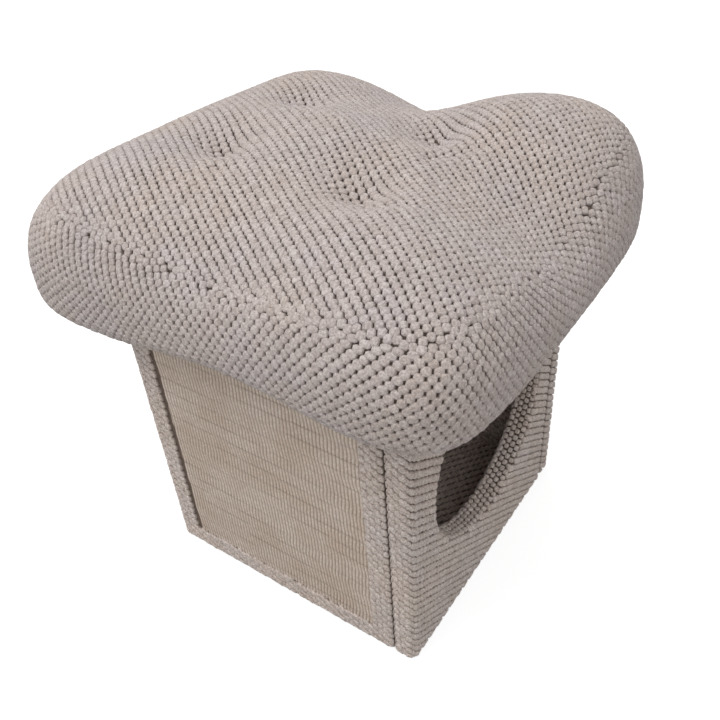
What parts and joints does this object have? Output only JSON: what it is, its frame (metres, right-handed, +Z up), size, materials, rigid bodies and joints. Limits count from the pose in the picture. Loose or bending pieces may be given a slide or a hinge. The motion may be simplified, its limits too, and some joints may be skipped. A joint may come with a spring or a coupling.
{
  "type": "cat scratcher pouf",
  "caption": "Square upholstered cat house with a round doorway, a sisal scratching mat on one side and a tufted cushion lid that lifts off",
  "frame": {"origin": "on the floor, at the middle of the overall box", "axes": "+X right and +Y back as seen facing the doorway, +Z up. The doorway faces -Y and the sisal mat faces -X"},
  "size_m": [0.434, 0.462, 0.4841],
  "materials": {
    "wall_plush": "warm grey bobble plush with a deep pile",
    "cushion_plush": "warm grey bobble plush with a deep pile",
    "wall_board": "raw particle board",
    "sisal": "ribbed woven sisal",
    "nonwoven_cloth": "black nonwoven dust cloth",
    "dowel": "smooth beech",
    "batten": "planed pine",
    "screw_steel": "zinc plated",
    "filling": "loose polyester fibre",
    "twine": "waxed polyester twine",
    "toggle_plastic": "moulded, satin"
  },
  "bodies": {
    "house": {"front_board": "wall_board", "front_cover": "wall_plush", "right_board": "wall_board", "right_cover": "wall_plush", "back_board": "wall_board", "back_cover": "wall_plush", "left_board": "wall_board", "left_cover": "wall_plush", "sisal_mat": "sisal", "base_board": "wall_board", "base_cover": "wall_plush", "ground_cloth": "nonwoven_cloth", "dowel_front_left_low": "dowel", "dowel_front_left_high": "dowel", "dowel_front_right_low": "dowel", "dowel_front_right_high": "dowel", "dowel_back_right_low": "dowel", "dowel_back_right_high": "dowel", "dowel_back_left_low": "dowel", "dowel_back_left_high": "dowel", "base_dowel_front": "dowel", "base_dowel_right": "dowel", "base_dowel_back": "dowel", "base_dowel_left": "dowel"},
    "lid": {"lid_board": "wall_board", "lid_dust_cloth": "nonwoven_cloth", "cushion_cover": "cushion_plush", "cushion_filling": "filling", "batten_front": "batten", "batten_back": "batten", "batten_left": "batten", "batten_right": "batten", "screw_front_1": "screw_steel", "screw_front_2": "screw_steel", "screw_back_1": "screw_steel", "screw_back_2": "screw_steel", "screw_left_1": "screw_steel", "screw_left_2": "screw_steel", "screw_right_1": "screw_steel", "screw_right_2": "screw_steel", "tuft_twine_1": "twine", "tuft_twine_2": "twine", "tuft_twine_3": "twine", "tuft_twine_4": "twine", "tuft_toggle_1": "toggle_plastic", "tuft_toggle_2": "toggle_plastic", "tuft_toggle_3": "toggle_plastic", "tuft_toggle_4": "toggle_plastic"}
  },
  "joints": [
    {"name": "lid_lift", "type": "slide", "parent": "house", "child": "lid", "axis": [0, 0, 1], "range_m": [0, 0.15]}
  ]
}
